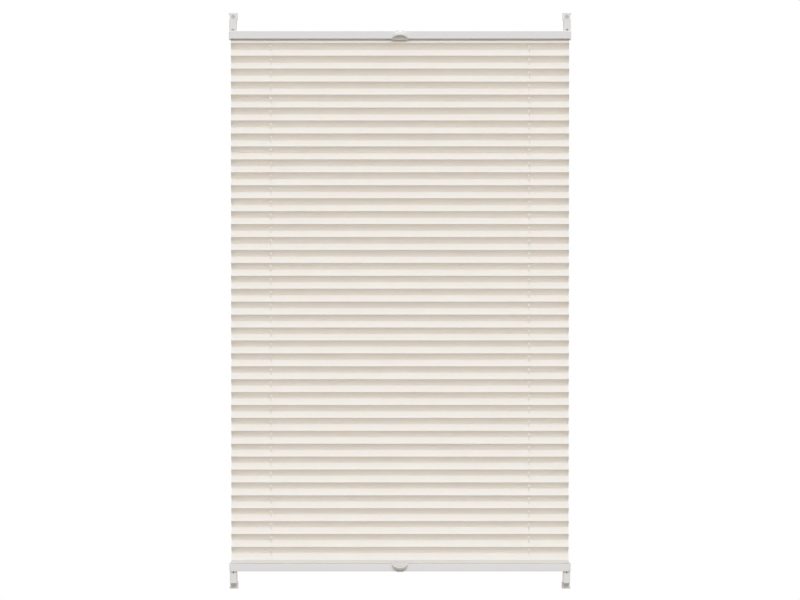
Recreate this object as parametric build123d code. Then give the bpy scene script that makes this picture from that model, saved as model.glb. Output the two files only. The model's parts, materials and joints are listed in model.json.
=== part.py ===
from build123d import *
from math import sqrt
import os

# A pleated blind for a window sash. Two rails slide on two taut cords, with a pleated sheet between them.
# Four clamp brackets grip the sash's top and bottom edges and hold the ends of the cords.
# Frame: X across the blind, Y from the room (-Y) to the window, Z up. The origin is midway along the
# sash's top edge, on the face that looks into the room. Millimetres.

# Sash that the blind is made for
sash_height = 991.0
sash_thickness = 16.0

# Across the blind
rail_length = 600.0
fabric_side_gap = 3.3
cord_inset = 6.8
cord_hole_inset = 73.0

# Rails
rail_depth = 20.0
rail_height = 13.5
rail_wall = 1.1
rail_corner = 0.8
rail_slot = 4.4
rail_standoff = 15.0
rail_gap = 2.2

# End caps
cap_thickness = 3.0
cap_drop = 1.8
cap_corner = 1.6
cap_edge = 0.9
plug_length = 12.0
plug_clearance = 0.1

# Cords
cord_diameter = 1.0
cord_spread = 0.8
cord_bend = 4.0
cord_run_depth = 5.8
knot_diameter = 2.6
bearing_clearance = 0.05
channel_width = 1.35
channel_depth = 3.0

# Pleated sheet
facet_length = 20.0
front_folds = 41
fabric_thickness = 0.35
fabric_tail = 1.1
fabric_flange = 5.5
hole_width = 3.0
hole_length = 5.0

# Bar that holds the sheet's end tail in a rail
strip_width = 14.0
strip_thickness = 1.4
strip_shortfall = 1.7

# Saddle that turns a cord down into the pleats
guide_length = 20.0
guide_clearance = 0.1

# Finger pulls
handle_width = 28.0
handle_wall = 1.6
handle_drop = 2.0
handle_rise = 0.5
handle_mouth = 8.4
handle_back = 1.2
clip_width = 12.0
clip_reach = 3.5
clip_thickness = 0.8

# Tension shoes
shoe_width = 12.3
shoe_height = 19.0
shoe_depth = 18.0
shoe_wall = 1.4
shoe_floor = 1.6
shoe_corner = 1.5
cord_slot_width = 1.8
notch_width = 3.4
notch_height = 2.4
stop_diameter = 6.0
stop_height = 4.0
stop_bore = 1.2

# Clamp carriers
pad_thickness = 1.0
plate_thickness = 2.0
housing_height = 11.5
housing_length = 16.0
housing_extra = 1.2
flange_height = 2.4
flange_extra = 1.6
rib_side_gap = 0.75
rib_hook = 1.5
rib_head_thickness = 1.4
rib_clearance = 0.15
rib_start = 5.0
rib_end_gap = 0.2

# Clamp screws and jaws
screw_diameter = 4.0
screw_length = 12.8
screw_head_diameter = 7.0
screw_head_height = 2.4
screw_socket = 3.0
screw_rise = 4.7
screw_clearance = 0.05
head_clearance = 0.2
front_wall = 4.0
channel_wide = 7.6
channel_high = 7.0
jaw_clearance = 0.1
jaw_width = 11.0
jaw_thickness = 1.6
jaw_drop = 12.0
jaw_block_length = 11.6
pad_width = 10.0
pad_height = 10.0
front_pad_height = 14.0
pad_margin = 1.0

# Sizes worked out from these
half_rail = rail_length / 2
cord_x = half_rail - cord_inset
cord_hole_x = half_rail - cord_hole_inset
fabric_width = rail_length - 2 * fabric_side_gap
rail_end = half_rail - cap_thickness
rail_top = -(shoe_height + rail_gap)
rail_bottom = rail_top - rail_height
chamber_top = rail_top - rail_wall
lip_top = rail_bottom + rail_wall
strip_bottom = lip_top + fabric_thickness
strip_top = strip_bottom + strip_thickness
cord_run = rail_top - cord_run_depth
bearing_radius = cord_bend - cord_diameter / 2 - bearing_clearance
fabric_opening = sash_height + 2 * rail_bottom
pleat_pitch = (fabric_opening - 2 * fabric_tail) / (front_folds - 0.5)
pleat_reach = sqrt(facet_length**2 - (pleat_pitch / 2) ** 2) / 2
rail_y = -rail_standoff
rail_front = rail_y - rail_depth / 2
plate_back = -pad_thickness
plate_front = plate_back - plate_thickness
shoe_front = plate_front - shoe_depth
rib_head = shoe_width - 2 * (shoe_wall + rib_side_gap)
rib_neck = rib_head - 2 * rib_hook
knot_z = -shoe_height + shoe_floor + stop_height + knot_diameter / 2


def block(x, y, z):
    """A box between two limits on each axis."""
    size = [high - low for low, high in (x, y, z)]
    middle = [(low + high) / 2 for low, high in (x, y, z)]
    return Pos(*middle) * Box(*size)


def along_x(profile, x0, x1):
    """A profile drawn in Y and Z, as a bar from x0 to x1."""
    return extrude(Plane.YZ.offset(x0) * profile, x1 - x0)


def along_y(outline, y0, y1):
    """A closed outline of X and Z points, as a bar from y0 to y1."""
    face = make_face(Polyline(*[(x, y0, z) for x, z in outline], close=True))
    return extrude(face, y1 - y0, dir=(0, 1, 0))


def to_left(shape):
    """The same piece on the left-hand side."""
    return mirror(shape, about=Plane.YZ)


def to_bottom(shape):
    """The same piece at the sash's bottom edge."""
    return mirror(shape, about=Plane.XY.offset(-sash_height / 2))


def rail():
    """Channel with its slot towards the fabric, and a notch in its back for each cord's boss."""
    outer = RectangleRounded(rail_depth, rail_height, rail_corner)
    chamber = Rectangle(rail_depth - 2 * rail_wall, rail_height - 2 * rail_wall)
    slot = Pos(0, -rail_height / 2) * Rectangle(rail_slot, 3 * rail_wall)
    profile = Pos(rail_y, (rail_top + rail_bottom) / 2) * (outer - chamber - slot)
    bar = along_x(profile, -rail_end, rail_end)
    half_notch = channel_depth / 2 + plug_clearance
    notch = block(
        (rail_end - plug_length, rail_end + 1),
        (rail_y - half_notch, rail_y + half_notch),
        (chamber_top - 1, rail_top + 1),
    )
    return bar - notch - to_left(notch)


def cap_plate():
    """Rounded plate that closes the rail's end and stands a little past it on the fabric side."""
    height = rail_height + cap_drop
    profile = Pos(rail_y, rail_top - height / 2) * RectangleRounded(rail_depth, height, cap_corner)
    plate = along_x(profile, rail_end, half_rail)
    return fillet(plate.faces().sort_by(Axis.X)[-1].edges(), cap_edge)


def end_cap():
    """Cap with a plug in the rail. The cord bears on the plug's rounded edge as it turns into the rail."""
    half_chamber = rail_depth / 2 - rail_wall - plug_clearance
    plug_start = rail_end - plug_length
    half_channel = channel_depth / 2
    in_channel = (rail_y - half_channel, rail_y + half_channel)
    bearing_side = cord_x - cord_diameter / 2 - bearing_clearance
    channel_side = bearing_side + channel_width
    plug = block(
        (plug_start, rail_end),
        (rail_y - half_chamber, rail_y + half_chamber),
        (strip_top + 1.5 * plug_clearance, chamber_top - plug_clearance),
    )
    channel = block(
        (plug_start, channel_side),
        in_channel,
        (cord_run - cord_diameter / 2 - 3 * plug_clearance, chamber_top),
    )
    boss = block((channel_side, rail_end), in_channel, (chamber_top - rail_wall, rail_top))
    bearing = block(
        (plug_start, bearing_side), in_channel, (cord_run + cord_bend - bearing_radius, rail_top)
    )
    edge = bearing.edges().filter_by(Axis.Y).group_by(Axis.X)[-1].sort_by(Axis.Z)[0]
    bearing = fillet(edge, bearing_radius)
    return cap_plate() + (plug - channel + boss + bearing)


def fabric_line():
    """Middle line of the sheet from its tail in the top rail to its tail in the bottom rail, as Y and Z."""
    points = [(rail_y + fabric_flange, strip_bottom - fabric_thickness / 2)]
    points.append((rail_y, strip_bottom - fabric_thickness / 2))
    points.append((rail_y, rail_bottom - fabric_tail))
    z = rail_bottom - fabric_tail - pleat_pitch / 4
    for fold in range(2 * front_folds - 1):
        side = -1 if fold % 2 == 0 else 1
        points.append((rail_y + side * pleat_reach, z))
        z -= pleat_pitch / 2
    ends = [(y, -sash_height - z) for y, z in reversed(points[:3])]
    return points + ends


def both_sides(line, thickness):
    """Outline of a thin sheet that follows a line of points, mitred at its folds."""
    points = [Vector(y, z) for y, z in line]
    runs = [(b - a).normalized() for a, b in zip(points, points[1:])]
    runs = [runs[0]] + runs + [runs[-1]]
    left = []
    right = []
    for point, before, after in zip(points, runs, runs[1:]):
        across = Vector(-before.Y - after.Y, before.X + after.X).normalized()
        reach = thickness / 2 / across.dot(Vector(-before.Y, before.X))
        left.append(point + across * reach)
        right.append(point - across * reach)
    return left + right[::-1]


def cord_openings(low, high):
    """Upright slots for the two cords, as wide and as deep as the punched holes."""
    slope_depth = hole_length * 2 * pleat_reach / facet_length
    profile = SlotCenterToCenter(slope_depth - hole_width, hole_width, rotation=90)
    slot = extrude(Pos(cord_hole_x, rail_y, low) * profile, high - low)
    return slot + to_left(slot)


def pleated_fabric():
    """One sheet, folded into pleats, with a hole in each facet for each cord."""
    outline = [(p.X, p.Y) for p in both_sides(fabric_line(), fabric_thickness)]
    sheet = along_x(make_face(Polyline(*outline, close=True)), -fabric_width / 2, fabric_width / 2)
    return sheet - cord_openings(-sash_height, 0)


def fabric_strip():
    """Flat bar over the rail's slot that holds the sheet's tail."""
    half = fabric_width / 2 - strip_shortfall
    y = (rail_y - strip_width / 2, rail_y + strip_width / 2)
    return block((-half, half), y, (strip_bottom, strip_top)) - cord_openings(-sash_height, 0)


def cord_guide():
    """Saddle on the strip with a rounded edge, over which the cord turns down into the pleats."""
    half_chamber = rail_depth / 2 - rail_wall - guide_clearance
    top = cord_run - cord_bend + bearing_radius
    bearing_side = cord_hole_x - cord_diameter / 2 - bearing_clearance
    start = cord_hole_x - guide_length / 2
    y = (rail_y - half_chamber, rail_y + half_chamber)
    in_channel = (rail_y - channel_depth / 2, rail_y + channel_depth / 2)
    saddle = block((start, start + guide_length), y, (strip_top, top))
    channel = block((start, bearing_side + channel_width), in_channel, (strip_top, top))
    bearing = block((start, bearing_side), in_channel, (strip_top, top))
    edge = bearing.edges().filter_by(Axis.Y).group_by(Axis.X)[-1].sort_by(Axis.Z)[-1]
    return saddle - channel + fillet(edge, bearing_radius)


def handle():
    """Finger pull: a thin half dome, its mouth towards the fabric, clipped over the rail's two edges."""
    foot = rail_bottom - handle_drop
    radius = handle_width / 2
    height = rail_top + handle_rise - foot
    tip = sqrt(radius**2 - (handle_mouth + radius - height) ** 2)
    ahead = 2 * radius
    rise = ahead * handle_mouth / tip
    wedge = [(rail_front, foot), (rail_front, foot - 1), (rail_front - ahead, foot - 1)]
    wedge.append((rail_front - ahead, foot + rise))
    mouth = along_x(make_face(Polyline(*wedge, close=True)), -ahead, ahead)
    hollow = half_dome(radius - handle_wall, height - handle_wall, foot)
    outer = half_dome(radius, height, foot)
    front = (rail_front - ahead, rail_front - handle_back)
    ahead_of_back = block((-ahead, ahead), front, (foot - 1, foot + ahead))
    shell = outer - (hollow & ahead_of_back) - (mouth & ahead_of_back)
    clip_y = (rail_front - handle_back, rail_front + clip_reach)
    clip_x = (-clip_width / 2, clip_width / 2)
    top_clip = block(clip_x, clip_y, (rail_top, rail_top + clip_thickness))
    bottom_clip = block(clip_x, clip_y, (rail_bottom - clip_thickness, rail_bottom))
    return shell + top_clip + bottom_clip


def half_dome(radius, height, foot):
    """Half of a round-topped post, flat against the rail's front face."""
    shoulder = height - radius
    side = Line((radius, 0), (radius, shoulder))
    crown = CenterArc((0, shoulder), radius, 0, 90)
    axis_side = Line((0, height), (0, 0))
    quarter = make_face([Line((0, 0), (radius, 0)), side, crown, axis_side])
    return Pos(0, rail_front, foot) * revolve(Plane.XZ * quarter, Axis.Z, revolution_arc=-180)


def tension_shoe():
    """Hollow block, open at its far end. It hooks on the carrier's rib, and the cord leaves at its foot."""
    half = shoe_width / 2
    x = (cord_x - half, cord_x + half)
    body = block(x, (shoe_front, plate_front), (-shoe_height, 0))
    upright = body.edges().filter_by(Axis.Z).group_by(Axis.Y)[0]
    body = fillet(upright, shoe_corner)
    pocket = block(
        (cord_x - half + shoe_wall, cord_x + half - shoe_wall),
        (shoe_front + shoe_wall, plate_front - shoe_wall),
        (-shoe_height + shoe_floor, 1),
    )
    neck = rib_neck / 2 + rib_clearance
    head = rib_head / 2 + rib_clearance
    neck_way = block(
        (cord_x - neck, cord_x + neck), (plate_front - shoe_wall, plate_front), (-shoe_height, -rib_start)
    )
    head_depth = shoe_wall + rib_head_thickness + 2 * rib_clearance
    head_way = block(
        (cord_x - head, cord_x + head),
        (plate_front - head_depth, plate_front - shoe_wall),
        (-shoe_height, -shoe_height + shoe_floor),
    )
    cord_way = block(
        (cord_x - cord_slot_width / 2, cord_x + cord_slot_width / 2),
        (shoe_front, rail_y + channel_depth / 2 + rib_clearance),
        (-shoe_height, -shoe_height + shoe_floor),
    )
    notch_tip = (cord_x, -shoe_height + notch_height)
    notch_foot = [(cord_x + side * notch_width / 2, -shoe_height) for side in (-1, 1)]
    notch = along_y(notch_foot + [notch_tip], shoe_front, shoe_front + shoe_wall)
    return body - pocket - neck_way - head_way - cord_way - notch


def cord_stop(y):
    """Bead on the shoe's floor that the cord's knot pulls against."""
    foot = -shoe_height + shoe_floor
    bead = Cylinder(stop_diameter / 2, stop_height) - Cylinder(stop_bore / 2, stop_height)
    bead = chamfer(bead.edges().filter_by(GeomType.CIRCLE).group_by(SortBy.RADIUS)[-1], 0.5)
    return Pos(cord_x, y, foot + stop_height / 2) * bead


def carrier():
    """Moulded bracket: plate in front of the sash, T rib for the shoe, housing over the sash's edge."""
    half = shoe_width / 2
    plate = block((cord_x - half, cord_x + half), (plate_front, plate_back), (-shoe_height, 0))
    housing_y = (plate_front, plate_front + housing_length)
    housing = block(
        (cord_x - half - housing_extra, cord_x + half), housing_y, (0, housing_height)
    )
    flange = block(
        (cord_x - half - housing_extra, cord_x + half + flange_extra),
        housing_y,
        (housing_height - flange_height, housing_height),
    )
    rib_z = (-shoe_height + rib_end_gap, -rib_start)
    neck_front = plate_front - shoe_wall - rib_clearance
    neck = block((cord_x - rib_neck / 2, cord_x + rib_neck / 2), (neck_front, plate_front), rib_z)
    head = block(
        (cord_x - rib_head / 2, cord_x + rib_head / 2), (neck_front - rib_head_thickness, neck_front), rib_z
    )
    slideway = block(
        (cord_x - channel_wide / 2, cord_x + channel_wide / 2),
        (plate_front + front_wall, housing_y[1]),
        (screw_rise - channel_high / 2, screw_rise + channel_high / 2),
    )
    shank_radius = (screw_diameter + head_clearance) / 2
    shank_hole = lying_cylinder(shank_radius, plate_front, plate_front + front_wall)
    seat_depth = screw_head_height + head_clearance
    head_radius = screw_head_diameter / 2 + head_clearance
    head_hole = lying_cylinder(head_radius, plate_front, plate_front + seat_depth)
    return plate + housing + flange + neck + head - slideway - shank_hole - head_hole


def lying_cylinder(radius, y0, y1):
    """A round bar on the clamp screw's axis, from y0 to y1."""
    middle = Pos(cord_x, (y0 + y1) / 2, screw_rise)
    return middle * Rot(X=90) * Cylinder(radius, y1 - y0)


def clamp_screw():
    """Socket screw from the front. Its head sits in the housing and its thread draws the jaw."""
    head_front = plate_front + head_clearance
    head_back = head_front + screw_head_height
    head = lying_cylinder(screw_head_diameter / 2, head_front, head_back)
    shank = lying_cylinder(screw_diameter / 2, head_back, head_back + screw_length)
    hexagon = RegularPolygon(screw_socket / 2, 6, major_radius=False)
    socket = extrude(
        Plane((cord_x, head_front, screw_rise), z_dir=(0, 1, 0)) * hexagon, screw_head_height * 0.7
    )
    return head + shank - socket


def clamp_jaw():
    """Steel plate behind the sash, with a threaded block that slides in the carrier."""
    front = sash_thickness + pad_thickness
    back = front + jaw_thickness
    top = screw_rise + channel_high / 2 - jaw_clearance
    bottom = screw_rise - channel_high / 2 + jaw_clearance
    leg = block((cord_x - jaw_width / 2, cord_x + jaw_width / 2), (front, back), (-jaw_drop, top))
    half_block = channel_wide / 2 - jaw_clearance
    slider = block(
        (cord_x - half_block, cord_x + half_block), (front - jaw_block_length, front), (bottom, top)
    )
    thread = lying_cylinder(screw_diameter / 2 + screw_clearance, front - jaw_block_length, back)
    return leg + slider - thread


def front_pad():
    """Rubber pad between the carrier's plate and the sash."""
    top = -(shoe_height - front_pad_height) / 2
    x = (cord_x - pad_width / 2, cord_x + pad_width / 2)
    return block(x, (plate_back, 0), (top - front_pad_height, top))


def jaw_pad():
    """Rubber pad between the jaw and the sash."""
    x = (cord_x - pad_width / 2, cord_x + pad_width / 2)
    y = (sash_thickness, sash_thickness + pad_thickness)
    return block(x, y, (-jaw_drop + pad_margin, -jaw_drop + pad_margin + pad_height))


def cord_route(y):
    """Taut path from the top right bracket, across its rail, down the pleats on the left and back."""
    corners = [(cord_x, knot_z), (cord_x, cord_run), (-cord_hole_x, cord_run)]
    corners += [(x, -sash_height - z) for x, z in reversed(corners)]
    return FilletPolyline(*[(x, y, z) for x, z in corners], radius=cord_bend)


def tension_cord(y):
    """Cord from the right-hand brackets, whose run in the pleats is on the left. It ends in two knots."""
    section = Plane((cord_x, y, knot_z), z_dir=(0, 0, -1)) * Circle(cord_diameter / 2)
    knot = Pos(cord_x, y, knot_z) * Sphere(knot_diameter / 2)
    return sweep(section, path=cord_route(y)) + knot + to_bottom(knot)


def build():
    """Every piece by its node's name."""
    right_cord_y = rail_y + cord_spread
    left_cord_y = rail_y - cord_spread
    pieces = {"pleated_fabric": pleated_fabric()}
    for side, y in (("right", right_cord_y), ("left", left_cord_y)):
        turn = to_left if side == "left" else lambda shape: shape
        pieces[f"tension_cord_{side}"] = turn(tension_cord(y))
        for level, drop in (("top", lambda shape: shape), ("bottom", to_bottom)):
            corner = f"{level}_{side}"
            pieces[f"end_cap_{corner}"] = drop(turn(end_cap()))
            pieces[f"cord_guide_{corner}"] = drop(turn(cord_guide()))
            pieces[f"tension_shoe_{corner}"] = drop(turn(tension_shoe()))
            pieces[f"cord_stop_{corner}"] = drop(turn(cord_stop(y)))
            pieces[f"clamp_carrier_{corner}"] = drop(turn(carrier()))
            pieces[f"clamp_screw_{corner}"] = drop(turn(clamp_screw()))
            pieces[f"clamp_jaw_{corner}"] = drop(turn(clamp_jaw()))
            pieces[f"front_pad_{corner}"] = drop(turn(front_pad()))
            pieces[f"jaw_pad_{corner}"] = drop(turn(jaw_pad()))
    for level, drop in (("top", lambda shape: shape), ("bottom", to_bottom)):
        pieces[f"{level}_rail"] = drop(rail())
        pieces[f"{level}_fabric_strip"] = drop(fabric_strip())
        pieces[f"{level}_handle"] = drop(handle())
    return pieces


os.makedirs("parts", exist_ok=True)
for node, piece in build().items():
    export_step(piece, f"parts/{node}.step")
print("pleat pitch", round(pleat_pitch, 3), "pleat depth", round(2 * pleat_reach, 3))
print("cord length", round(cord_route(rail_y).length, 1), "and bend radii", [cord_bend] * 4)
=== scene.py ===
import json
from math import cos, pi, radians, sin, sqrt

import bmesh
import bpy
from mathutils import Matrix, Vector, noise

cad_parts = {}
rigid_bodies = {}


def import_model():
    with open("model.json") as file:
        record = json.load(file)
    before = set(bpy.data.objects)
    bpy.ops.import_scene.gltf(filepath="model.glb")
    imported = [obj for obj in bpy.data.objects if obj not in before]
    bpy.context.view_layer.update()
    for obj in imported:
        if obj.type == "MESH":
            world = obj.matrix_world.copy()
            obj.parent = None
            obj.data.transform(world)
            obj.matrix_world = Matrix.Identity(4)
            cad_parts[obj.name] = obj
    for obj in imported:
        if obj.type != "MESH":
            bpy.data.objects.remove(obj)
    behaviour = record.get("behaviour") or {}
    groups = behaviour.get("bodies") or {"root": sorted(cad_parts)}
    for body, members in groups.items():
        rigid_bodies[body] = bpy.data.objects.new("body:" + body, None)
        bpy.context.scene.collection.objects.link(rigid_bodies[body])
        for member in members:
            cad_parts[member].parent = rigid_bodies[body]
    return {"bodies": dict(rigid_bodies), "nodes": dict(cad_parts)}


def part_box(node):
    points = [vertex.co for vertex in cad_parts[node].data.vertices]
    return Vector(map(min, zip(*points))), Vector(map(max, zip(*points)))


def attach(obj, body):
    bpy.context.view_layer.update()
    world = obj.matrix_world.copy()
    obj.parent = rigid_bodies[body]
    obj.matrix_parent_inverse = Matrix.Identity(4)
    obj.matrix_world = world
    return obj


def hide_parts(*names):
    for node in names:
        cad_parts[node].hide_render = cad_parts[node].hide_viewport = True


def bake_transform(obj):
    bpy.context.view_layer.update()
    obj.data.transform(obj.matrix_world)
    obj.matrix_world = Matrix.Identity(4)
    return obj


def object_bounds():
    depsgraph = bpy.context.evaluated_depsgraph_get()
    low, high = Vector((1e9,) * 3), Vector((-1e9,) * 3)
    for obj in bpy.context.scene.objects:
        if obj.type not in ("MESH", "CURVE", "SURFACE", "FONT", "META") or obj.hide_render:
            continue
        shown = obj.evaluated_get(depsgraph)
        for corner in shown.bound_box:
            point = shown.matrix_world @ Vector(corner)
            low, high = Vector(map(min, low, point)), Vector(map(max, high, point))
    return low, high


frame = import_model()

cad_low, cad_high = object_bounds()


# ---- Studio -------------------------------------------------------------------------------------
# A white surround, lit in soft bands, and two broad lamps. The camera stands a little above the
# blind's middle, six and a half metres in front, and looks at it.

camera_distance = 6.5
camera_height = -0.34
camera_lens = 166.45
blind_middle = Vector((0, -0.015, -0.4929))
seen_surround = (1.0, 1.0, 1.0)
surround_bands = ((0.0, (0.24, 0.20, 0.16, 1)), (0.22, (0.29, 0.24, 0.19, 1)),
                  (0.36, (0.80, 0.70, 0.61, 1)), (0.62, (0.61, 0.62, 0.63, 1)),
                  (1.0, (0.53, 0.55, 0.58, 1)))

studio = bpy.context.scene
studio.view_settings.view_transform = "Standard"

camera_data = bpy.data.cameras.new("camera")
camera_data.lens = camera_lens
camera = bpy.data.objects.new("camera", camera_data)
camera.location = (0, blind_middle.y - camera_distance, camera_height)
camera.rotation_euler = (blind_middle - camera.location).to_track_quat("-Z", "Y").to_euler()
studio.collection.objects.link(camera)
studio.camera = camera

surround = bpy.data.worlds.new("surround")
surround.use_nodes = True
studio.world = surround
sky = surround.node_tree
seen_sky = sky.nodes.new("ShaderNodeBackground")
seen_sky.inputs["Color"].default_value = (*seen_surround, 1)
lit_sky = sky.nodes["Background"]
direction = sky.nodes.new("ShaderNodeTexCoord")
height = sky.nodes.new("ShaderNodeSeparateXYZ")
rise = sky.nodes.new("ShaderNodeMapRange")
rise.inputs["From Min"].default_value = -1
bands = sky.nodes.new("ShaderNodeValToRGB")
for place, colour in surround_bands[1:-1]:
    bands.color_ramp.elements.new(place)
for band, (place, colour) in zip(bands.color_ramp.elements, surround_bands):
    band.position = place
    band.color = colour
sky.links.new(direction.outputs["Generated"], height.inputs[0])
sky.links.new(height.outputs["Z"], rise.inputs["Value"])
sky.links.new(rise.outputs["Result"], bands.inputs["Fac"])
sky.links.new(bands.outputs["Color"], lit_sky.inputs["Color"])
sky_choice = sky.nodes.new("ShaderNodeMixShader")
camera_ray = sky.nodes.new("ShaderNodeLightPath")
sky.links.new(camera_ray.outputs["Is Camera Ray"], sky_choice.inputs["Fac"])
sky.links.new(lit_sky.outputs[0], sky_choice.inputs[1])
sky.links.new(seen_sky.outputs[0], sky_choice.inputs[2])
sky.links.new(sky_choice.outputs[0], sky.nodes["World Output"].inputs["Surface"])


def lamp(name, strength, spread, elevation, azimuth):
    """A broad lamp far away. Azimuth 0 shines from the front, and 180 from behind."""
    light = bpy.data.lights.new(name, "SUN")
    light.energy = strength
    light.angle = radians(spread)
    placed = bpy.data.objects.new(name, light)
    placed.rotation_euler = (radians(90 - elevation), 0, radians(azimuth))
    studio.collection.objects.link(placed)


lamp("front_lamp", strength=1.25, spread=34, elevation=36, azimuth=5)
lamp("back_lamp", strength=1.15, spread=60, elevation=40, azimuth=187)


# ---- Pleated fabric -----------------------------------------------------------------------------
# One sheet of woven polyester, set in sharp pleats by heat. A slot is punched in each facet for each
# cord. Its two tails turn into the rails' slots: it hangs taut from the top rail and lies on the bottom
# one. It is one pleat, repeated down the blind, and it stretches and gathers between the two rails.

front_folds = 41
facet_length = 0.020
fabric_tail = 0.0011
fabric_flange = 0.0055
tail_rise = 0.001275
end_lean = 0.003
end_gap = 0.0004
fabric_thickness = 0.00035
fold_round = 0.0006
hole_size = (0.003, 0.005)
hole_margin = 0.0025
hole_rounding = 0.49
cord_hole_x = 0.227
fabric_columns = 20
column_clearance = 0.006
facet_parts = (0.25, 0.5, 0.25)
fold_angle = 20
fold_wander = 0.00012
wander_rate = (7, 9, 60)
wander_seed = 1
touching = 1e-6

top_rail_low, top_rail_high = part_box("top_rail")
bottom_rail_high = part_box("bottom_rail")[1]
fabric_low, fabric_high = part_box("pleated_fabric")
rail_middle_y = (top_rail_low.y + top_rail_high.y) / 2
fabric_width = fabric_high.x - fabric_low.x
fabric_top = top_rail_low.z - fabric_tail
fabric_bottom = bottom_rail_high.z + fabric_tail
pleat_pitch = (fabric_top - fabric_bottom) / (front_folds - 0.5)
pleat_reach = sqrt(facet_length**2 - (pleat_pitch / 2) ** 2) / 2
first_fold_z = fabric_top - pleat_pitch / 4


class Finish:
    """A value in a material. Sums and products of values add their Math nodes."""

    def __init__(self, tree, socket=None):
        self.tree = tree
        self.socket = socket

    def node(self, kind, sockets, out=0, **settings):
        """A node of another kind: its settings first, then the values or links of its sockets."""
        made = self.tree.nodes.new(kind)
        for name, value in settings.items():
            setattr(made, name, value)
        for name, value in sockets.items():
            if isinstance(value, Finish):
                self.tree.links.new(value.socket, made.inputs[name])
            else:
                made.inputs[name].default_value = value
        return Finish(self.tree, made.outputs[out])

    def math(self, operation, first, second):
        return self.node("ShaderNodeMath", {0: first, 1: second}, operation=operation)

    def __add__(self, other):
        return self.math("ADD", self, other)

    def __mul__(self, other):
        return self.math("MULTIPLY", self, other)

    __radd__ = __add__
    __rmul__ = __mul__


def material(name, constants):
    """A new material, its Principled shader's constant sockets set, and a value to build nodes from."""
    made = bpy.data.materials.new(name)
    made.use_nodes = True
    shader = made.node_tree.nodes["Principled BSDF"]
    for socket, value in constants.items():
        shader.inputs[socket].default_value = value
    return made, shader, Finish(made.node_tree)


def mixed(finish, share, first, second):
    """The two colours mixed by a share that runs from 0 to 1."""
    sockets = {0: share, 6: (*first, 1), 7: (*second, 1)}
    return finish.node("ShaderNodeMix", sockets, out=2, data_type="RGBA")


def connect(finish, shader, **values):
    """Links values to the shader's sockets, by the sockets' names."""
    for socket, value in values.items():
        finish.tree.links.new(value.socket, shader.inputs[socket.replace("_", " ").title()])


def bumped(finish, height, distance, strength=1.0):
    """A normal that follows a height."""
    sockets = {"Height": height, "Distance": distance, "Strength": strength}
    return finish.node("ShaderNodeBump", sockets)


def piece(name, shape, finish_material, smooth_below=35):
    """An object in the scene from a finished bmesh, shaded smooth except at its sharp edges."""
    for face in shape.faces:
        face.smooth = True
    for edge in shape.edges:
        if edge.is_manifold:
            edge.smooth = edge.calc_face_angle(0) < radians(smooth_below)
    data = bpy.data.meshes.new(name)
    shape.to_mesh(data)
    shape.free()
    data.materials.append(finish_material)
    made = bpy.data.objects.new(name, data)
    studio.collection.objects.link(made)
    return made


def woven_polyester():
    """Plain weave with fine slubs, warm off-white, a little sheen."""
    made, shader, finish = material("woven_polyester", {
        "Sheen Weight": 0.12, "Sheen Roughness": 0.5,
        "Subsurface Weight": 0.5, "Subsurface Radius": (1.0, 0.85, 0.7), "Subsurface Scale": 0.0006})
    cloth = finish.node("ShaderNodeUVMap", {}, uv_map="cloth")
    along = finish.node("ShaderNodeMapping", {"Vector": cloth, "Scale": (90, 1400, 1)})
    across = finish.node("ShaderNodeMapping", {"Vector": cloth, "Scale": (1400, 90, 1)})
    warp = finish.node("ShaderNodeTexWave", {"Vector": cloth, "Scale": 620.0}, 1, bands_direction="X")
    weft = finish.node("ShaderNodeTexWave", {"Vector": cloth, "Scale": 620.0}, 1, bands_direction="Y")
    slub_along = finish.node("ShaderNodeTexNoise", {"Vector": along, "Scale": 1.0, "Detail": 3.0})
    slub_across = finish.node("ShaderNodeTexNoise", {"Vector": across, "Scale": 1.0, "Detail": 3.0})
    cloud = finish.node("ShaderNodeTexNoise", {"Vector": cloth, "Scale": 14.0, "Detail": 2.0})
    thread = warp * weft
    slub = slub_along * 0.6 + slub_across * 0.4
    tone = slub * 0.55 + thread * 0.15 + cloud * 0.3
    colour = mixed(finish, tone, (0.835, 0.808, 0.765), (0.948, 0.932, 0.905))
    normal = bumped(finish, thread * 0.5 + slub * 0.5, distance=0.00008, strength=0.5)
    connect(finish, shader, base_color=colour, roughness=slub * 0.1 + 0.78, normal=normal)
    return made


def fold_down(profile, depth):
    """Adds the next edge of a row by pulling a copy of it to another depth and height."""
    made = bmesh.ops.extrude_edge_only(cloth, edges=profile)["geom"]
    row = [item for item in made if isinstance(item, bmesh.types.BMVert)]
    bmesh.ops.translate(cloth, verts=row, vec=(0, *depth))
    return [item for item in made if isinstance(item, bmesh.types.BMEdge) and item.is_boundary
            and all(vert in row for vert in item.verts)]


cloth = bmesh.new()
left_end = cloth.verts.new((-fabric_width / 2, rail_middle_y - pleat_reach, first_fold_z))
right_end = cloth.verts.new((fabric_width / 2, rail_middle_y - pleat_reach, first_fold_z))
row = [cloth.edges.new((left_end, right_end))]
for side in (1, -1):
    for share in facet_parts:
        step = (side * 2 * pleat_reach * share, -pleat_pitch / 2 * share)
        row = fold_down(row, step)
cell_edges = [side * cord_hole_x + edge * (hole_size[0] / 2 + hole_margin)
              for side in (-1, 1) for edge in (-1, 1)]
cuts = [fabric_width * (n / fabric_columns - 0.5) for n in range(1, fabric_columns)]
cuts = [x for x in cuts if min(abs(x - edge) for edge in cell_edges) > column_clearance]
for x in cuts + cell_edges:
    everything = cloth.verts[:] + cloth.edges[:] + cloth.faces[:]
    bmesh.ops.bisect_plane(cloth, geom=everything, dist=1e-7, plane_co=(x, 0, 0), plane_no=(1, 0, 0))
cell_reach = 0.001
cell_length = facet_length * 0.4
cells = []
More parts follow.
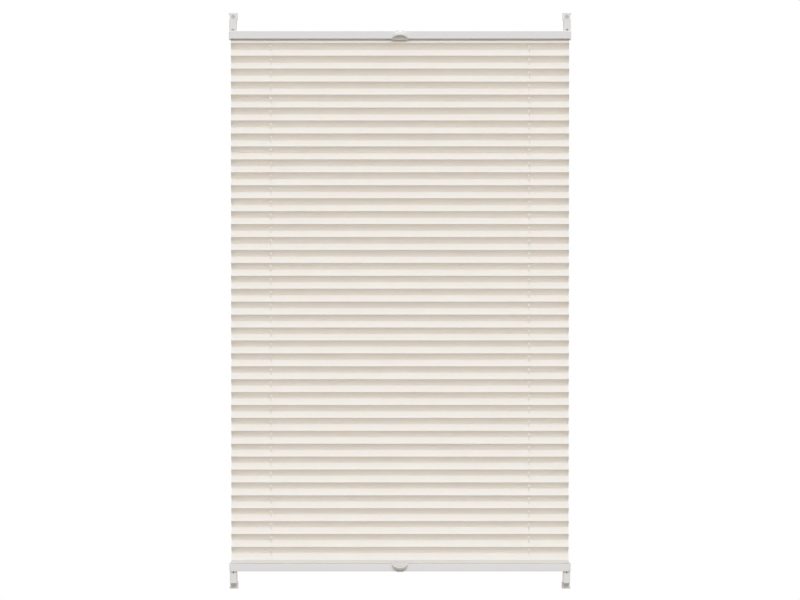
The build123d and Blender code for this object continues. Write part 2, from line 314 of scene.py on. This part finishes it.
for face in cloth.faces:
    middle = face.calc_center_median()
    length = max(edge.calc_length() for edge in face.edges
                 if abs(edge.verts[0].co.z - edge.verts[1].co.z) > touching)
    if abs(abs(middle.x) - cord_hole_x) < cell_reach and length > cell_length:
        cells.append(face)
for face in cells:
    bmesh.ops.inset_individual(cloth, faces=[face], thickness=hole_margin, use_even_offset=True)
    corners = face.verts[:]
    bmesh.ops.bevel(cloth, geom=corners, offset=hole_size[0] * hole_rounding, segments=4, profile=0.5,
                    affect="VERTICES", material=-1)
hole_sides = 12
largest_hole = 2e-5
holes = [face for face in cloth.faces if len(face.verts) > hole_sides and face.calc_area() < largest_hole]
bmesh.ops.delete(cloth, geom=holes, context="FACES")
everything = cloth.verts[:] + cloth.edges[:] + cloth.faces[:]
bmesh.ops.spin(cloth, geom=everything, cent=(0, 0, 0), axis=(0, 0, 1), dvec=(0, 0, -pleat_pitch), angle=0,
               steps=front_folds - 2, use_duplicate=True)
bmesh.ops.remove_doubles(cloth, verts=cloth.verts, dist=touching)
last_fold_z = first_fold_z - pleat_pitch * (front_folds - 1)
rest_z = bottom_rail_high.z + end_gap
taut_end = [(pleat_reach, fabric_top - first_fold_z), (0, fabric_tail + tail_rise), (fabric_flange, 0)]
slack_end = [(end_lean, rest_z - last_fold_z), (pleat_reach - end_lean, 0), (0, -end_gap - tail_rise),
             (fabric_flange, 0)]
for end_z, steps in ((first_fold_z, taut_end), (last_fold_z, slack_end)):
    row = [edge for edge in cloth.edges if edge.is_boundary
           and all(abs(vert.co.z - end_z) < touching for vert in edge.verts)]
    for step in steps:
        row = fold_down(row, step)
bmesh.ops.recalc_face_normals(cloth, faces=cloth.faces)
if sum(face.normal.y * face.calc_area() for face in cloth.faces) > 0:
    bmesh.ops.reverse_faces(cloth, faces=cloth.faces)
folds = [edge for edge in cloth.edges if edge.is_manifold and edge.calc_face_angle() > radians(fold_angle)]
bmesh.ops.bevel(cloth, geom=folds, offset=fold_round, offset_type="OFFSET", segments=2, profile=0.5,
                affect="EDGES", material=-1)
# Without a seed the noise starts from the clock, and each run would bend the cloth differently.
noise.seed_set(wander_seed)
for vert in cloth.verts:
    wander = noise.noise_vector(Vector([place * rate for place, rate in zip(vert.co, wander_rate)]))
    if fabric_bottom < vert.co.z < fabric_top:
        vert.co += Vector((0, wander.y, wander.z)) * fold_wander
cloth.normal_update()
held_share = cloth.verts.layers.float.new("held_share")
for vert in cloth.verts:
    vert[held_share] = min(1, max(0, (fabric_top - vert.co.z) / (fabric_top - fabric_bottom)))
    vert.co -= vert.normal * fabric_thickness / 2
bmesh.ops.solidify(cloth, geom=cloth.faces[:], thickness=-fabric_thickness)
bmesh.ops.reverse_faces(cloth, faces=cloth.faces)
weave = cloth.loops.layers.uv.new("cloth")
slope = facet_length / (pleat_pitch / 2)
for face in cloth.faces:
    for loop in face.loops:
        loop[weave].uv = (loop.vert.co.x, loop.vert.co.z * slope)
sheet = piece("pleated_sheet", cloth, woven_polyester(), smooth_below=50)


def stretched_between_rails(obj):
    """Lets a piece follow the top rail at its start height and the bottom rail at its end height. Its
    vertices' held_share, where 0 is the top rail and 1 the bottom rail, says how each moves between."""
    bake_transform(obj)
    share = [0.0] * len(obj.data.vertices)
    obj.data.attributes["held_share"].data.foreach_get("value", share)
    held_above = obj.vertex_groups.new(name="held_above")
    for vert, below in zip(obj.data.vertices, share):
        held_above.add([vert.index], 1 - below, "REPLACE")
    follow = obj.modifiers.new("follow_top_rail", "HOOK")
    follow.object = frame["bodies"]["top_rail"]
    follow.vertex_group = "held_above"


stretched_between_rails(sheet)
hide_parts("pleated_fabric")
flat_length = facet_length * (2 * front_folds - 2)
flat_length += sum(Vector(step).length for step in taut_end + slack_end)


# ---- Rails --------------------------------------------------------------------------------------
# Two aluminium extrusions with a slot towards the fabric, powder coated white. They slide on the
# cords, and the fabric's tails are held inside them.

rail_rounding = 0.0022
rail_rounding_segments = 5
outer_reach = 1e-5


def dress(finish_material, *names):
    """Gives construction pieces their finish."""
    for name in names:
        for place in frame["nodes"][name].material_slots:
            place.material = finish_material


def ease(radius, *names):
    """Rounds the sharp edges of construction pieces by a small radius, as moulding or coating does."""
    for name in names:
        modifiers = frame["nodes"][name].modifiers
        weld = modifiers.new("weld", "WELD")
        weld.merge_threshold = 1e-6
        plain = modifiers.new("plain_faces", "DECIMATE")
        plain.decimate_type = "DISSOLVE"
        plain.angle_limit = radians(0.5)
        eased = modifiers.new("eased_edges", "BEVEL")
        eased.limit_method = "ANGLE"
        eased.angle_limit = radians(40)
        eased.width = radius
        eased.segments = 2
        shaded = modifiers.new("shading", "WEIGHTED_NORMAL")
        shaded.keep_sharp = False


def powder_coat():
    """Satin white powder coat with a very fine orange peel."""
    made, shader, finish = material("powder_coat", {"Specular IOR Level": 0.45})
    place = finish.node("ShaderNodeTexCoord", {}, out=3)
    peel = finish.node("ShaderNodeTexNoise", {"Vector": place, "Scale": 900.0, "Detail": 2.0})
    cloud = finish.node("ShaderNodeTexNoise", {"Vector": place, "Scale": 9.0, "Detail": 3.0})
    colour = mixed(finish, cloud * 0.7 + peel * 0.3, (0.775, 0.792, 0.812), (0.825, 0.842, 0.864))
    normal = bumped(finish, peel, distance=0.00004, strength=0.25)
    connect(finish, shader, base_color=colour, roughness=cloud * 0.12 + 0.36, normal=normal)
    return made


dress(powder_coat(), "top_rail", "bottom_rail")
ease(rail_rounding, "top_rail", "bottom_rail")
for name in ("top_rail", "bottom_rail"):
    rail = frame["nodes"][name]
    rail_low, rail_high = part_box(name)
    outer_edges = rail.vertex_groups.new(name="outer_edges")
    outer_edges.add([vert.index for vert in rail.data.vertices
                     if min(vert.co.y - rail_low.y, rail_high.y - vert.co.y) < outer_reach
                     and min(vert.co.z - rail_low.z, rail_high.z - vert.co.z) < outer_reach], 1, "REPLACE")
    eased = rail.modifiers["eased_edges"]
    eased.limit_method = "VGROUP"
    eased.vertex_group = "outer_edges"
    eased.segments = rail_rounding_segments


# ---- End caps -----------------------------------------------------------------------------------
# White moulded plugs with a rounded plate, pushed into the rails' ends. The cords turn over an edge
# inside them.

corners = [f"{level}_{side}" for level in ("top", "bottom") for side in ("left", "right")]


def moulded_plastic(name, dark, light, roughness, grain):
    """White injection-moulded plastic: faint flow marks and a fine spark-eroded grain."""
    made, shader, finish = material(name, {"Specular IOR Level": 0.5})
    place = finish.node("ShaderNodeTexCoord", {}, out=3)
    spark = finish.node("ShaderNodeTexNoise", {"Vector": place, "Scale": 2600.0, "Detail": 2.0})
    flow = finish.node("ShaderNodeTexNoise", {"Vector": place, "Scale": 55.0, "Detail": 3.0,
                                              "Distortion": 0.6})
    colour = mixed(finish, flow * 0.8 + spark * 0.2, dark, light)
    normal = bumped(finish, spark, distance=0.00003, strength=grain)
    connect(finish, shader, base_color=colour, roughness=flow * 0.1 + roughness, normal=normal)
    return made


cap_plastic = moulded_plastic("cap_plastic", (0.770, 0.772, 0.775), (0.835, 0.837, 0.842),
                              roughness=0.40, grain=0.3)
dress(cap_plastic, *[f"end_cap_{corner}" for corner in corners])
ease(0.0002, *[f"end_cap_{corner}" for corner in corners])


# ---- Fabric bars and cord guides ----------------------------------------------------------------
# A flat extruded bar holds each tail of the fabric in its rail, and two acetal saddles on each bar
# turn the cords down into the pleats.

bar_plastic = moulded_plastic("bar_plastic", (0.72, 0.72, 0.70), (0.80, 0.80, 0.79),
                              roughness=0.45, grain=0.2)
guide_plastic = moulded_plastic("guide_plastic", (0.69, 0.69, 0.67), (0.77, 0.77, 0.75),
                                roughness=0.38, grain=0.2)
dress(bar_plastic, "top_fabric_strip", "bottom_fabric_strip")
dress(guide_plastic, *[f"cord_guide_{corner}" for corner in corners])
dress(guide_plastic, *[f"cord_stop_{corner}" for corner in corners])


# ---- Finger pulls -------------------------------------------------------------------------------
# A thin half dome of soft-gloss plastic, clipped over the middle of each rail. Its mouth faces the
# fabric, so a fingertip goes in from there.

pull_plastic = moulded_plastic("pull_plastic", (0.760, 0.760, 0.755), (0.820, 0.820, 0.815),
                               roughness=0.25, grain=0.1)
dress(pull_plastic, "top_handle", "bottom_handle")


# ---- Cords --------------------------------------------------------------------------------------
# Two braided polyester cords under tension. Each is knotted in a top bracket, runs down into the rail,
# across it, down through the pleats on the other side, across the bottom rail and down to its bracket.

cord_radius = 0.0005
knot_radius = 0.0013
cord_bend = 0.004
cord_run_depth = 0.0058
cord_sides = 8
bend_steps = 6


def braided_cord():
    """Braided polyester, white, its strands crossing at a slant."""
    made, shader, finish = material("braided_cord", {"Sheen Weight": 0.2})
    skin = finish.node("ShaderNodeUVMap", {}, uv_map="braid")
    strand = finish.node("ShaderNodeTexWave", {"Vector": skin, "Scale": 260.0}, 1,
                         bands_direction="DIAGONAL")
    mirrored = finish.node("ShaderNodeMapping", {"Vector": skin, "Scale": (-1, 1, 1)})
    crossing = finish.node("ShaderNodeTexWave", {"Vector": mirrored, "Scale": 260.0}, 1,
                           bands_direction="DIAGONAL")
    fibre = finish.node("ShaderNodeTexNoise", {"Vector": skin, "Scale": 2500.0, "Detail": 2.0})
    braid = finish.math("MAXIMUM", strand, crossing)
    colour = mixed(finish, braid * 0.6 + fibre * 0.4, (0.62, 0.61, 0.59), (0.84, 0.83, 0.81))
    normal = bumped(finish, braid, distance=0.0001, strength=0.6)
    connect(finish, shader, base_color=colour, roughness=fibre * 0.15 + 0.6, normal=normal)
    return made


def cord_skin(stops, place, side, y, level):
    """A strip from one stop along the cord to the next, rolled round its route. The route is a function
    of the way along: a place in x and z for the top right bracket, and how far the cord has turned."""
    skin = bmesh.new()
    bmesh.ops.create_grid(skin, x_segments=cord_sides, y_segments=len(stops) - 1, size=0.5)
    braid = skin.loops.layers.uv.new("braid")
    for vert in skin.verts:
        vert.co = (vert.co.x + 0.5, stops[round((vert.co.y + 0.5) * (len(stops) - 1))], 0)
    for face in skin.faces:
        for loop in face.loops:
            loop[braid].uv = (loop.vert.co.x * 2 * pi * cord_radius, loop.vert.co.y)
    for vert in skin.verts:
        x, z, turn = place(vert.co.y)
        out, aside = cord_radius * cos(2 * pi * vert.co.x), cord_radius * sin(2 * pi * vert.co.x)
        z -= out * sin(turn)
        vert.co = (side * (x + out * cos(turn)), y + aside, z if level == "top" else sash_bottom - z)
    bmesh.ops.remove_doubles(skin, verts=skin.verts, dist=1e-6)
    bmesh.ops.holes_fill(skin, edges=skin.edges, sides=cord_sides)
    bmesh.ops.recalc_face_normals(skin, faces=skin.faces)
    return skin


def through_rail(way):
    """The run from the outer edge, round a bend, across the rail and round a bend into the pleats."""
    first = min(way / cord_bend, pi / 2)
    across = min(max(way - bend_length, 0), run_length)
    last = max(way - bend_length - run_length, 0) / cord_bend
    x = cord_x - cord_bend * (1 - cos(first)) - across - cord_bend * sin(last)
    z = bend_top - cord_bend * sin(first) - cord_bend * (1 - cos(last))
    return x, z, first - last


sash_bottom = cad_low.z + cad_high.z
cord = braided_cord()
for side, hand in ((1, "right"), (-1, "left")):
    cord_low, cord_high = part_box(f"tension_cord_{hand}")
    cord_y = (cord_low.y + cord_high.y) / 2
    cord_x = max(cord_high.x, -cord_low.x) - knot_radius
    knot_z = cord_high.z - knot_radius
    bend_top = top_rail_high.z - cord_run_depth + cord_bend
    bend_length = cord_bend * pi / 2
    run_length = cord_x + cord_hole_x - 2 * cord_bend
    pleats_top = bend_top - 2 * cord_bend
    bends = [bend_length * step / bend_steps for step in range(bend_steps + 1)]
    bends += [bend_length + run_length + way for way in bends]
    pleats_length = 2 * pleats_top - sash_bottom
    pieces = []
    for level in ("top", "bottom"):
        outer = cord_skin([0, knot_z - bend_top], lambda way: (cord_x, knot_z - way, 0), side, cord_y,
                          level)
        knot_at = Vector((side * cord_x, cord_y, knot_z if level == "top" else sash_bottom - knot_z))
        bmesh.ops.create_uvsphere(outer, u_segments=12, v_segments=8, radius=knot_radius,
                                  matrix=Matrix.Translation(knot_at))
        outer = piece(f"cord_{hand}_{level}_end", outer, cord, smooth_below=60)
        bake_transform(outer)
        inside = cord_skin(bends, through_rail, side, cord_y, level)
        inside = piece(f"cord_{hand}_{level}_run", inside, cord)
        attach(inside, f"{level}_rail")
        pieces += [outer, inside]
    inner = cord_skin([0, pleats_length], lambda way: (-cord_hole_x, pleats_top - way, 0), side, cord_y,
                      "top")
    held_share = inner.verts.layers.float.new("held_share")
    for vert in inner.verts:
        vert[held_share] = (pleats_top - vert.co.z) / pleats_length
    inner = piece(f"cord_{hand}_in_pleats", inner, cord)
    stretched_between_rails(inner)
    for run in pieces + [inner]:
        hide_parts(f"tension_cord_{hand}")


# ---- Brackets -----------------------------------------------------------------------------------
# A moulded carrier hooks over the sash's edge at each corner, and a hollow shoe on it holds the cord's
# end. A zinc-plated socket screw draws a plated steel jaw against the sash, with rubber pads between.

bracket_plastic = moulded_plastic("bracket_plastic", (0.780, 0.782, 0.785), (0.845, 0.847, 0.850),
                                  roughness=0.42, grain=0.3)
dress(bracket_plastic, *[f"tension_shoe_{corner}" for corner in corners])
dress(bracket_plastic, *[f"clamp_carrier_{corner}" for corner in corners])
ease(0.0002, *[f"tension_shoe_{corner}" for corner in corners])


def zinc_plate():
    """Bright zinc plating, faintly clouded and brushed."""
    made, shader, finish = material("zinc_plate", {"Metallic": 0.9})
    place = finish.node("ShaderNodeTexCoord", {}, out=3)
    long = finish.node("ShaderNodeMapping", {"Vector": place, "Scale": (300, 3000, 300)})
    brushed = finish.node("ShaderNodeTexNoise", {"Vector": long, "Scale": 1.0, "Detail": 3.0})
    cloud = finish.node("ShaderNodeTexNoise", {"Vector": place, "Scale": 260.0, "Detail": 3.0})
    colour = mixed(finish, cloud, (0.56, 0.57, 0.59), (0.72, 0.73, 0.75))
    normal = bumped(finish, brushed, distance=0.00003, strength=0.4)
    connect(finish, shader, base_color=colour, roughness=brushed * 0.2 + 0.28, normal=normal)
    return made


def grey_rubber():
    """Matt grey rubber with a fine grain."""
    made, shader, finish = material("grey_rubber", {})
    place = finish.node("ShaderNodeTexCoord", {}, out=3)
    grain = finish.node("ShaderNodeTexNoise", {"Vector": place, "Scale": 1800.0, "Detail": 3.0})
    colour = mixed(finish, grain, (0.30, 0.30, 0.31), (0.40, 0.40, 0.41))
    normal = bumped(finish, grain, distance=0.00005, strength=0.5)
    connect(finish, shader, base_color=colour, roughness=grain * 0.1 + 0.8, normal=normal)
    return made


zinc = zinc_plate()
rubber = grey_rubber()
for corner in corners:
    dress(zinc, f"clamp_screw_{corner}", f"clamp_jaw_{corner}")
    dress(rubber, f"front_pad_{corner}", f"jaw_pad_{corner}")
